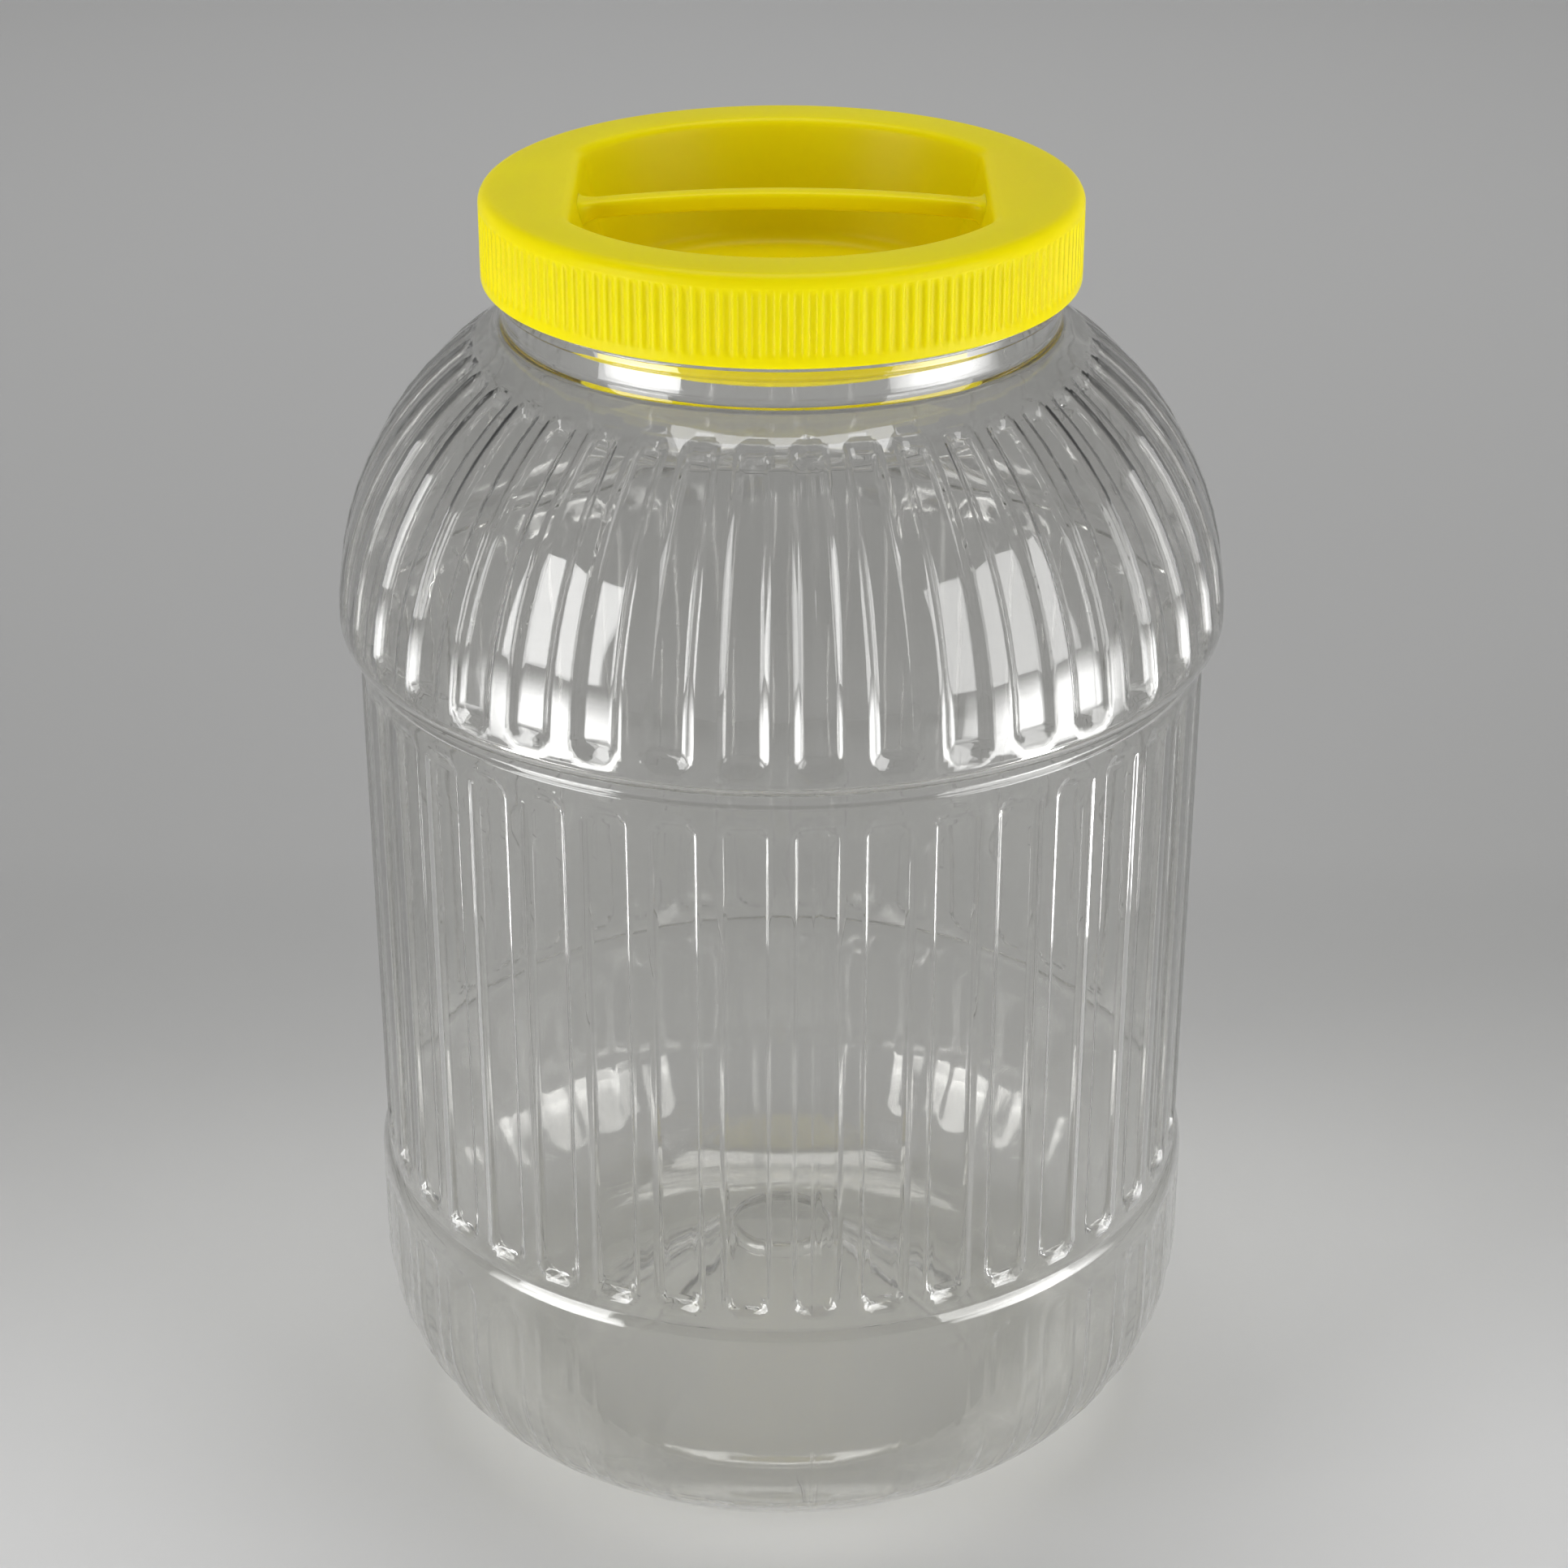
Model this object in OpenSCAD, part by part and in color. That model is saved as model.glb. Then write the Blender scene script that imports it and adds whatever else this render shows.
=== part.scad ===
// A clear blown storage jar of about five litres with a screw lid.
// The jar stands on the XY plane, its axis is Z, and its front faces -Y.
// Sizes are in millimetres.

/* [Jar body] */
// Outside radius of the fluted body wall
body_r = 83.7; // [78:0.1:92]
// Height of the base, from the table to the top of its ledge
base_h = 61.5; // [50:0.5:80]
// Height of the fluted body, from the ledge to the waist
body_h = 112; // [80:1:150]
// How far the base ledge stands out past the body wall
ledge_out = 1.3; // [0.8:0.1:2]
// Radius of the rounded top edge of the ledge
ledge_round = 3; // [2.2:0.1:4]
// Radius of the rounded turn from the base wall to the table
heel_r = 36; // [28:1:42]
// Wall thickness of the blown shell
wall = 0.9; // [0.6:0.1:1.2]

/* [Base] */
// Width of the flat ring that the jar stands on
stand_w = 3; // [2:0.5:6]
// Height of the pushed-up centre of the base
push_h = 31; // [20:1:38]
// Radius of the round boss on top of the push-up
boss_r = 10.6; // [8:0.2:14]
// Height of that boss
boss_h = 2.5; // [1:0.5:5]
// Number of stiffening ribs that run down the push-up
rib_n = 5; // [3:1:8]
// Radius of each rounded rib
rib_r = 1.4; // [1.1:0.1:2]
// Angle of the first rib from the front
rib_turn = 7; // [0:1:30]

/* [Shoulder] */
// How far the shoulder bulges out past the body wall
shoulder_out = 3.6; // [2.5:0.1:5]
// Height of the domed shoulder above its widest ring
shoulder_h = 57.5; // [48:0.5:66]
// Radius of the rolled lower edge of the shoulder
lip_r = 3; // [2.2:0.1:3.8]
// Height of the narrow waist between the body and the shoulder
waist_h = 3; // [2:0.1:6]
// How deep the waist is drawn in behind the body wall
waist_in = 1.2; // [0.5:0.1:2]

/* [Flutes] */
// Number of flutes around the jar
flute_n = 40; // [32:2:44]
// Depth of each flute on the body and the shoulder
flute_depth = 1.3; // [0.8:0.1:1.6]
// Width of each flute on the body wall
flute_w = 8.6; // [7:0.1:9]
// Depth of each flute on the base
base_flute_depth = 0.4; // [0.3:0.1:1.2]
// Height of the lower ends of the base flutes, on the rounded turn to the table
base_flute_z = 12; // [9:0.5:20]
// Plain height between the ends of the flutes and the next edge
flute_end = 2.4; // [1.5:0.1:5]
// Plain height of the shoulder above its flutes
flute_top = 4.5; // [3:0.5:10]

/* [Neck] */
// Inside radius of the mouth
neck_bore_r = 51; // [47:0.1:55]
// Wall thickness of the neck
neck_wall = 2.2; // [1.6:0.1:3]
// Height of the neck, from the shoulder to the rim
neck_h = 23; // [22:0.5:30]
// Height of the neck bead's lower edge above the shoulder
bead_z = 5.6; // [4:0.1:6]
// Height of the neck bead
bead_h = 2.8; // [2:0.1:3]
// How far the bead stands out from the neck
bead_out = 1.3; // [0.8:0.1:1.6]

/* [Thread] */
// Rise of the thread in one turn
thread_lead = 5; // [4:0.1:6]
// Depth of the thread
thread_depth = 1.4; // [1:0.1:1.8]
// Width of the thread at its root
thread_root_w = 2; // [1.6:0.1:2.2]
// Width of the thread at its crest
thread_crest_w = 1; // [0.6:0.1:1.4]
// Number of separate thread pieces in one turn
thread_pieces = 6; // [4:1:8]
// Angle left open between two thread pieces
thread_vent = 6; // [3:1:12]
// Distance from the rim down to the middle of the thread's upper end
thread_below_rim = 4; // [3:0.1:5]
// Length of a thread's foot inside the wall that it grows out of
thread_foot = 0.6; // [0.3:0.1:0.9]
// Free play between the two threads, along the axis
thread_play = 0.3; // [0.2:0.05:0.5]
// Free play between the thread crests and the walls that they face
crest_play = 0.5; // [0.3:0.05:0.8]

/* [Lid] */
// Thickness of the skirt, with its grip ribs
skirt_wall = 1.9; // [1.5:0.1:2.5]
// Height of the lid's outside, from the skirt's edge to the top
lid_h = 17; // [15:0.1:17.3]
// Thickness of the lid's flat top ring
lid_top_t = 2; // [1.4:0.1:3]
// Radius of the lid's rounded top edge
lid_edge_r = 2.4; // [1:0.1:2.8]
// Number of grip ribs around the skirt
knurl_n = 144; // [96:2:180]
// Depth of the grooves between the grip ribs
knurl_depth = 0.5; // [0.3:0.05:0.8]
// Width of the flat bottom of each groove between the grip ribs
knurl_groove = 1; // [0.5:0.05:1]
// Width of each sloping flank of a grip rib
knurl_flank = 0.35; // [0.25:0.05:0.4]
// How far the grip ribs stay behind the plain edges above and below them
knurl_back = 0.1; // [0.05:0.05:0.2]
// Height of the plain band below the grip ribs
knurl_foot = 1.8; // [1:0.1:3]
// Height of the plain band between the grip ribs and the rounded top edge
knurl_land = 0.3; // [0.2:0.1:1]
// Gap between the recessed cup and the mouth of the jar
cup_gap = 4.2; // [2:0.1:6]
// Wall thickness of the recessed cup
cup_wall = 1.8; // [1.4:0.1:2.4]
// Depth of the recess, from the top ring to its floor
cup_depth = 24; // [16:0.5:28]
// Thickness of the floor of the recess
cup_floor_t = 2; // [1.4:0.1:3]
// How far each flat side of the recess cuts into its round outline
cup_flat_in = 6; // [3:0.5:9]

/* [Grip bar] */
// Width of the grip bar across the recess
bar_w = 4.5; // [3:0.1:7]
// Height of the grip bar's section
bar_t = 3.6; // [2.5:0.1:5]
// Depth of the bar's highest point below the lid's top
bar_drop = 1.3; // [0.5:0.1:4]
// How far the bar arches up from its ends to its middle
bar_rise = 2.2; // [1:0.1:4]
// Radius of the fillets where the bar meets the flat sides
bar_flare = 4; // [2:0.5:6]

/* [Sealing ring] */
// Thickness of the sealing ring
seal_t = 1; // [0.6:0.1:1.6]
// Free play of the ring inside the lid
seal_play = 0.6; // [0.3:0.1:0.7]

/* [Hidden] */
$fn = 240;
clear_plastic = [0.86, 0.89, 0.90, 0.45];
lid_yellow = [0.90, 0.82, 0.05];
seal_white = [0.93, 0.93, 0.90];
// Length by which a cutting shape runs past the surface it cuts
past = 1;

// Heights of the jar, from the table up
waist_z = base_h + body_h;
lip_z = waist_z + waist_h;
wide_z = lip_z + lip_r;
root_z = wide_z + shoulder_h;
rim_z = root_z + neck_h;

// Radii of the jar
ledge_r = body_r + ledge_out;
waist_r = body_r - waist_in;
shoulder_r = body_r + shoulder_out;
neck_r = neck_bore_r + neck_wall;
stand_r = ledge_r - heel_r;
stand_in_r = stand_r - stand_w;

// The shoulder's arc is upright at the widest ring and ends at the neck
shoulder_in = shoulder_r - neck_r;
dome_r = (shoulder_in * shoulder_in + shoulder_h * shoulder_h) / (2 * shoulder_in);
dome_x = shoulder_r - dome_r;

// Flutes: their pitch and the heights of their ends
flute_pitch = 360 / flute_n;
base_flute_h = base_h - ledge_round - flute_end - base_flute_z;
body_flute_z = base_h + flute_end;
body_flute_h = body_h - 2 * flute_end;
dome_flute_z = wide_z + flute_end;
dome_flute_h = shoulder_h - flute_end - flute_top;

// Slope of the push-up
push_slope = atan2(push_h - boss_h, stand_in_r - boss_r);

// The thread, and the lid's inside that follows it
thread_tilt = atan(thread_lead / (2 * PI * neck_r));
thread_arc = 360 / thread_pieces - thread_vent;
thread_z = rim_z - thread_below_rim - thread_lead;
thread_mid_w = (thread_root_w + thread_crest_w) / 2;
lid_thread_z = thread_z - thread_mid_w - thread_play;
lid_bore_r = neck_r + thread_depth + crest_play;
lid_r = lid_bore_r + skirt_wall;

// Heights and radii of the lid
lid_under_z = rim_z + seal_t;
lid_z = lid_under_z + lid_top_t;
skirt_z = lid_z - lid_h;
knurl_z = skirt_z + knurl_foot;
edge_z = lid_z - lid_edge_r;
cup_r = neck_bore_r - cup_gap;
recess_r = cup_r - cup_wall;
recess_flat = recess_r - cup_flat_in;
cup_flat = recess_flat + cup_wall;
recess_z = lid_z - cup_depth;
cup_z = recess_z - cup_floor_t;

// The bar's arch is a circle through its two ends and its middle
bar_top_z = lid_z - bar_drop;
bar_arch_r = (recess_flat * recess_flat + bar_rise * bar_rise) / (2 * bar_rise);

// Radii of the sealing ring, inside the lid
seal_out_r = lid_bore_r - seal_play;
seal_in_r = cup_r + seal_play;

// Half outline of the jar, drawn in by t from its outside
module shell_outline(t) {
    translate([0, t]) square([stand_r, heel_r - t]);
    intersection() {
        translate([stand_r, heel_r]) circle(r = heel_r - t);
        translate([stand_r, 0]) square([heel_r, heel_r]);
    }
    translate([0, heel_r]) square([ledge_r - t, base_h - ledge_round - heel_r]);
    intersection() {
        translate([ledge_r - ledge_round, base_h - ledge_round]) circle(r = ledge_round - t);
        translate([0, base_h - ledge_round]) square([ledge_r, ledge_round]);
    }
    translate([0, base_h - ledge_round]) square([body_r - t, body_h + ledge_round - t]);
    translate([0, waist_z - ledge_round]) square([waist_r - t, wide_z - waist_z + ledge_round]);
    translate([0, lip_z + t]) square([shoulder_r - lip_r, lip_r - t]);
    intersection() {
        translate([shoulder_r - lip_r, wide_z]) circle(r = lip_r - t);
        translate([0, lip_z]) square([shoulder_r, lip_r]);
    }
    intersection() {
        translate([dome_x, wide_z]) circle(r = dome_r - t);
        translate([0, wide_z]) square([shoulder_r, shoulder_h]);
    }
}

// Half outline of the push-up that the base leaves free, grown by t
module push_outline(t) {
    slope_x = stand_in_r + t / sin(push_slope);
    foot_x = slope_x - t / tan(push_slope);
    top_x = boss_r + t;
    polygon([
        [0, t - past],
        [foot_x, t - past],
        [foot_x, t],
        [top_x, (slope_x - top_x) * tan(push_slope)],
        [top_x, push_h + t],
        [0, push_h + t]
    ]);
}

// Half outline of the flutes that cut into the outline drawn in by t
module flute_outline(t) {
    intersection() {
        translate([stand_r, base_flute_z - t]) square([heel_r + past, base_flute_h + 2 * t]);
        difference() {
            translate([stand_r, 0]) square([heel_r + past, base_h]);
            translate([stand_r, heel_r]) circle(r = heel_r - base_flute_depth - t);
            translate([stand_r, heel_r]) square([heel_r - base_flute_depth - t, base_h - heel_r]);
        }
    }
    translate([body_r - flute_depth - t, body_flute_z - t])
        square([flute_depth + t + past, body_flute_h + 2 * t]);
    intersection() {
        translate([max(0, dome_x), dome_flute_z - t]) square([dome_r + past, dome_flute_h + 2 * t]);
        difference() {
            translate([dome_x, wide_z]) circle(r = dome_r + past);
            translate([dome_x, wide_z]) circle(r = dome_r - flute_depth - t);
        }
    }
}

// All flutes around the jar, for the outline drawn in by t
module flutes(t) {
    half = asin((flute_w / 2 + t) / body_r);
    for (i = [0 : flute_n - 1])
        rotate([0, 0, (i + 0.5) * flute_pitch - half])
            rotate_extrude(angle = 2 * half) flute_outline(t);
}

// One rounded rib down the push-up, along +X
module base_rib() {
    slope_x = stand_in_r + wall / sin(push_slope);
    run = slope_x - boss_r;
    translate([boss_r, 0, run * tan(push_slope)])
        rotate([0, 90 + push_slope, 0]) cylinder(r = rib_r, h = run / cos(push_slope));
}

// The space inside the jar, without its ribs and flutes
module jar_space() {
    difference() {
        union() {
            rotate_extrude() difference() {
                shell_outline(wall);
                push_outline(wall);
            }
            translate([0, 0, wide_z]) cylinder(r = neck_bore_r, h = rim_z - wide_z + past);
        }
        flutes(wall);
        for (i = [0 : rib_n - 1])
            rotate([0, 0, i * 360 / rib_n - 90 + rib_turn]) base_rib();
    }
}

// One turn of thread in pieces; depth is positive outwards and negative inwards
module thread(r, z, depth) {
    foot_r = r - sign(depth) * thread_foot;
    foot_w = thread_root_w + thread_foot * (thread_root_w - thread_crest_w) / thread_depth;
    for (i = [0 : thread_pieces - 1])
        translate([0, 0, z + thread_lead * (i + 0.5) / thread_pieces])
            rotate([0, 0, 360 * (i + 0.5) / thread_pieces])
                rotate([thread_tilt, 0, 0])
                    rotate([0, 0, -thread_arc / 2])
                        rotate_extrude(angle = thread_arc)
                            polygon([
                                [foot_r, -foot_w / 2],
                                [r + depth, -thread_crest_w / 2],
                                [r + depth, thread_crest_w / 2],
                                [foot_r, foot_w / 2]
                            ]);
}

// The blown jar: a thin fluted shell with a pushed-up base and a threaded neck
module jar_body() {
    color(clear_plastic) difference() {
        union() {
            difference() {
                rotate_extrude() difference() {
                    shell_outline(0);
                    push_outline(0);
                }
                flutes(0);
            }
            translate([0, 0, wide_z]) cylinder(r = neck_r, h = rim_z - wide_z);
            translate([0, 0, root_z + bead_z]) cylinder(r = neck_r + bead_out, h = bead_h);
            thread(neck_r, thread_z, thread_depth);
        }
        jar_space();
    }
}

// The soft ring between the jar's rim and the lid
module sealing_ring() {
    color(seal_white) translate([0, 0, rim_z]) difference() {
        cylinder(r = seal_out_r, h = seal_t);
        translate([0, 0, -past]) cylinder(r = seal_in_r, h = seal_t + 2 * past);
    }
}

// Outline of the recess: a circle with two flat sides
module recess_outline(r, flat) {
    intersection() {
        circle(r = r);
        square([2 * flat, 2 * r], center = true);
    }
}

// Outline of the skirt with its grip ribs, as flat-topped teeth
module knurl_outline() {
    pitch = 360 / knurl_n;
    degree = 2 * PI * lid_r / 360;
    crest_r = lid_r - knurl_back;
    root_r = crest_r - knurl_depth;
    corners = [
        [0, root_r],
        [knurl_groove / degree, root_r],
        [(knurl_groove + knurl_flank) / degree, crest_r],
        [pitch - knurl_flank / degree, crest_r]
    ];
    polygon([
        for (i = [0 : knurl_n - 1], corner = corners)
            corner[1] * [cos(i * pitch + corner[0]), sin(i * pitch + corner[0])]
    ]);
}

// The grip bar: a strip with flared ends, cut to an arched band
module grip_bar() {
    reach = recess_flat + cup_wall / 2;
    intersection() {
        translate([0, 0, bar_top_z - bar_rise - bar_t]) linear_extrude(bar_rise + bar_t + past)
            difference() {
                square([2 * reach, bar_w + 2 * bar_flare], center = true);
                for (side = [-1, 1], end = [-1, 1])
                    translate([end * (recess_flat - bar_flare), side * (bar_w / 2 + bar_flare)])
                        circle(r = bar_flare);
                for (side = [-1, 1])
                    translate([0, side * (bar_w / 2 + bar_flare)])
                        square([2 * (recess_flat - bar_flare), 2 * bar_flare], center = true);
            }
        rotate([90, 0, 0]) translate([0, bar_top_z - bar_arch_r, -bar_w / 2 - bar_flare - past])
            linear_extrude(bar_w + 2 * (bar_flare + past)) difference() {
                circle(r = bar_arch_r);
                translate([0, -bar_t]) circle(r = bar_arch_r);
            }
    }
}

// Half outline of the skirt and the top together, with the rounded top edge
module lid_outline() {
    translate([0, skirt_z]) square([lid_r, edge_z - skirt_z]);
    translate([0, skirt_z]) square([lid_r - lid_edge_r, lid_h]);
    translate([lid_r - lid_edge_r, edge_z]) circle(r = lid_edge_r);
}

// Outside of the recessed cup, up into the top ring
module cup_block() {
    translate([0, 0, cup_z])
        linear_extrude(lid_z - cup_z - lid_top_t / 2) recess_outline(cup_r, cup_flat);
}

// The lid: a ribbed skirt, a top ring, a recessed cup and a bar across it
module screw_lid() {
    color(lid_yellow) {
        difference() {
            union() {
                rotate_extrude() lid_outline();
                cup_block();
            }
            translate([0, 0, knurl_z]) linear_extrude(edge_z - knurl_land - knurl_z) difference() {
                circle(r = lid_r + past);
                knurl_outline();
            }
            difference() {
                translate([0, 0, skirt_z - past])
                    cylinder(r = lid_bore_r, h = lid_under_z - skirt_z + past);
                cup_block();
            }
            translate([0, 0, recess_z])
                linear_extrude(cup_depth + past) recess_outline(recess_r, recess_flat);
        }
        grip_bar();
        thread(lid_bore_r, lid_thread_z, -thread_depth);
    }
}

jar_body();
sealing_ring();
screw_lid();
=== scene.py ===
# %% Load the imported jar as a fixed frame
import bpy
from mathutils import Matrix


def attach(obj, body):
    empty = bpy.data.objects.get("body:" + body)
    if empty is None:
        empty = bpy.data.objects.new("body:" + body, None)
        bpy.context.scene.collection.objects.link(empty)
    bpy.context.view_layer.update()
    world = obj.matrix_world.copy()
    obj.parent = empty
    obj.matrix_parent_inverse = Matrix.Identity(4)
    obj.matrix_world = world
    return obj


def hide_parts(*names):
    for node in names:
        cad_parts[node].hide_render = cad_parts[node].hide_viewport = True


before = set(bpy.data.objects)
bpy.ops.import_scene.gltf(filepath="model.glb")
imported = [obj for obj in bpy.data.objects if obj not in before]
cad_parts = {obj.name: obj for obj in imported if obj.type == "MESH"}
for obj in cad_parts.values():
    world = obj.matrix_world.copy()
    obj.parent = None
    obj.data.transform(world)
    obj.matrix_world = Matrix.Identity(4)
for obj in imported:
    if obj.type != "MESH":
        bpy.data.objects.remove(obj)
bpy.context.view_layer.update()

# %% [markdown]
# # A clear storage jar with a yellow screw lid
# The real object is three mouldings: a thin blown jar, a lid that screws onto its neck, and a soft
# ring that seals the two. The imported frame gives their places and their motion. This lesson builds
# a finer mesh for each of them, in the same place, and gives it the finish of the real plastic.
# Sizes are written in millimetres, as on a drawing, and turned into metres when a mesh is made.

# %% Tools that every piece uses
import math

import bpy
import numpy as np
from mathutils import Vector

MM = 0.001


def put_in_scene(name, points, faces):
    """Makes a smooth-shaded mesh object from points in millimetres."""
    mesh = bpy.data.meshes.new(name)
    mesh.from_pydata([tuple(p) for p in np.asarray(points) * MM], [], faces)
    mesh.validate()
    mesh.polygons.foreach_set("use_smooth", [True] * len(mesh.polygons))
    mesh.update()
    made = bpy.data.objects.new(name, mesh)
    bpy.context.scene.collection.objects.link(made)
    print(name, "has", len(mesh.vertices), "points and", len(mesh.polygons), "faces")
    return made


# %% [markdown]
# ## Rings, the way to make round things
# A jar and a lid could be made with Blender's Screw modifier, which spins a profile round an axis.
# The flutes, ribs and threads break that roundness, though, so here each piece is a stack of rings.
# Every ring has the same number of points, so a point can move in or out before the rings are joined.

# %% A mesh from a stack of rings
def ring_mesh(name, rings, first=None, last=None):
    """Joins rings, given as rows by columns by 3. Poles close the ends, or the stack closes on itself."""
    rows, columns = rings.shape[:2]
    points = rings.reshape(-1, 3).tolist()
    index = np.arange(rows * columns).reshape(rows, columns)
    turned = np.roll(index, -1, axis=1)
    lower, upper = (index[:-1], index[1:]), (turned[:-1], turned[1:])
    faces = np.stack([lower[0], upper[0], upper[1], lower[1]], axis=-1).reshape(-1, 4).tolist()
    if first is None:
        faces += np.stack([index[-1], turned[-1], turned[0], index[0]], axis=-1).tolist()
    else:
        points.append(list(first))
        faces += [[len(points) - 1, b, a] for a, b in zip(index[0].tolist(), turned[0].tolist())]
        points.append(list(last))
        faces += [[len(points) - 1, a, b] for a, b in zip(index[-1].tolist(), turned[-1].tolist())]
    return put_in_scene(name, points, faces)


# %% [markdown]
# ## Profiles with rounded corners
# Moulded plastic has no sharp corners. A profile is written as corners, each with the radius of its
# rounding, and this helper puts an arc at each of them. A bevel modifier could do it on the mesh,
# but it would round every flute as well.

# %% Rounded profiles
def arc(centre, radius, start, end, steps):
    """Points on an arc, from one angle to another in degrees."""
    turn = np.radians(np.linspace(start, end, steps + 1))
    return np.stack([centre[0] + radius * np.cos(turn), centre[1] + radius * np.sin(turn)], axis=1)


def rounded(corners, step=12.0):
    """A path through corners of (radius from the axis, height, rounding)."""
    path = [np.array(corners[0][:2])[None]]
    for before, corner, after in zip(corners, corners[1:], corners[2:]):
        here = np.array(corner[:2], float)
        back = np.array(before[:2]) - here
        ahead = np.array(after[:2]) - here
        back, ahead = back / np.linalg.norm(back), ahead / np.linalg.norm(ahead)
        turn = math.pi - math.acos(np.clip(back @ ahead, -1, 1))
        if corner[2] <= 0 or turn < 1e-6:
            path.append(here[None])
            continue
        run = corner[2] * math.tan(turn / 2)
        middle = here + (back + ahead) / np.linalg.norm(back + ahead) * corner[2] / math.cos(turn / 2)
        count = max(2, math.ceil(math.degrees(turn) / step))
        share = np.linspace(0, 1, count + 1)[:, None]
        spoke_a, spoke_b = here + back * run - middle, here + ahead * run - middle
        swung = np.sin((1 - share) * turn) * spoke_a + np.sin(share * turn) * spoke_b
        path.append(middle + swung / math.sin(turn))
    path.append(np.array(corners[-1][:2])[None])
    return np.concatenate(path)


def drawn_in(corners, t):
    """The same corners on the inner side of a wall of thickness t, with their roundings changed to suit."""
    flat = np.array([c[:2] for c in corners], float)
    along = np.diff(flat, axis=0)
    along /= np.linalg.norm(along, axis=1)[:, None]
    out = np.stack([along[:, 1], -along[:, 0]], axis=1)
    moved = [(*(flat[0] - t * out[0]), 0)]
    for i in range(1, len(flat) - 1):
        place = flat[i] - t * (out[i - 1] + out[i]) / (1 + out[i - 1] @ out[i])
        bulges = along[i - 1][0] * along[i][1] - along[i - 1][1] * along[i][0] > 0
        rounding = corners[i][2] + (-t if bulges else t)
        moved.append((*place, rounding if corners[i][2] > 0 else 0))
    return moved + [(*(flat[-1] - t * out[-1]), 0)]


def arc_into_wall(centre, radius, wall_radius, rounding, steps):
    """A bulging arc from its widest point, and the hollow rounding that leads it into an upright wall."""
    reach = radius + rounding
    rise = math.sqrt(reach ** 2 - (wall_radius + rounding - centre[0]) ** 2)
    lean = math.degrees(math.atan2(rise, wall_radius + rounding - centre[0]))
    bulge = arc(centre, radius, 0, lean, steps)
    hollow = arc((wall_radius + rounding, centre[1] + rise), rounding, lean + 180, 180, 4)
    return np.concatenate([bulge, hollow[1:]])


ROW_GAP = 0.05


def with_rows(path, heights):
    """Adds points to a path where it crosses these heights, so that finer shapes have rows to use."""
    out = [path[0]]
    for a, b in zip(path, path[1:]):
        low, high = sorted((a[1], b[1]))
        between = [h for h in heights if low + ROW_GAP < h < high - ROW_GAP]
        for h in sorted(between, reverse=bool(b[1] < a[1])):
            out.append(a + (b - a) * (h - a[1]) / (b[1] - a[1]))
        out.append(b)
    return np.array(out)


# %% [markdown]
# ## The jar's shell
# The real jar is blown from one tube of clear plastic, so its wall is thin and follows every flute
# on both sides. The outside and the inside are the same profile, drawn in by the wall's thickness.
# From the table up it has a pushed-up base, a round heel, a ledge, a fluted body, a narrow waist,
# and a fluted dome that runs into the neck.

# %% Sizes of the jar
WALL = 0.9
BODY_R, LEDGE_R, WAIST_R, SHOULDER_R = 83.7, 85.0, 83.2, 87.25
BASE_H, WAIST_Z, LIP_Z, WIDE_Z, ROOT_Z, RIM_Z = 61.5, 173.5, 176.5, 179.5, 237.0, 260.0
HEEL_R, LEDGE_ROUND, LEDGE_Z, LIP_R = 36.0, 8.0, 56.7, 3.0
STAND_R, STAND_IN_R = 49.0, 46.0
BOSS_R, PUSH_H, BOSS_H = 10.6, 31.0, 2.5
NECK_R, BORE_R = 53.2, 51.0
DOME_R = ((SHOULDER_R - NECK_R) ** 2 + (ROOT_Z - WIDE_Z) ** 2) / (2 * (SHOULDER_R - NECK_R))
DOME_X = SHOULDER_R - DOME_R
print("dome radius", round(DOME_R, 2), "mm, centred", round(DOME_X, 2), "mm from the axis")

# %% [markdown]
# The flutes are long shallow channels with round ends. They could be cut with a boolean, but forty
# cuts through a thin wall are slow and leave rough normals, and clear plastic shows every rough
# normal. Moving the points of each ring inwards gives a clean skin. The columns sit close together
# at the sides of each flute, where the wall turns.

# %% Columns of the jar, placed for the flutes
FLUTE_N, FLUTE_W = 40, 10.2
BASE_FLUTE, BODY_FLUTE, DOME_FLUTE = (12.0, 56.1), (63.4, 171.3), (179.8, 233.4)
FLUTE_HALF = math.asin(FLUTE_W / 2 / BODY_R)
FLUTE_PITCH = 2 * math.pi / FLUTE_N
FLUTE_COLUMNS = (0.42, 0.68, 0.84, 1.0)
FRONT = -90
SEAM_TURN, SEAM_W = math.radians(FRONT + 4.2), math.radians(0.16)
RIB_N, RIB_TURN = 5, math.radians(FRONT + 7)
RIB_COLUMNS = (-5, -3.2, -1.6, 0, 1.6, 3.2, 5)
LEAST_STEP = math.radians(0.05)

in_flute = [s * u * FLUTE_HALF for u in FLUTE_COLUMNS for s in (-1, 1)]
columns = [(i + 0.5) * FLUTE_PITCH + a for i in range(FLUTE_N) for a in in_flute]
for side in (0, math.pi):
    columns += [SEAM_TURN + side + k * SEAM_W for k in (-1, 0, 1)]
for i in range(RIB_N):
    columns += [RIB_TURN + i * 2 * math.pi / RIB_N + math.radians(k) for k in RIB_COLUMNS]
columns = np.sort(np.mod(np.array(columns), 2 * math.pi))
columns = columns[np.concatenate([[True], np.diff(columns) > LEAST_STEP])]
print("the jar has", len(columns), "columns")

# %% [markdown]
# Rows cost faces, so they are close together only where the skin turns: on the roundings and at the
# ends of the flutes. The profile is built in four stretches, each from the table upwards.

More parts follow.
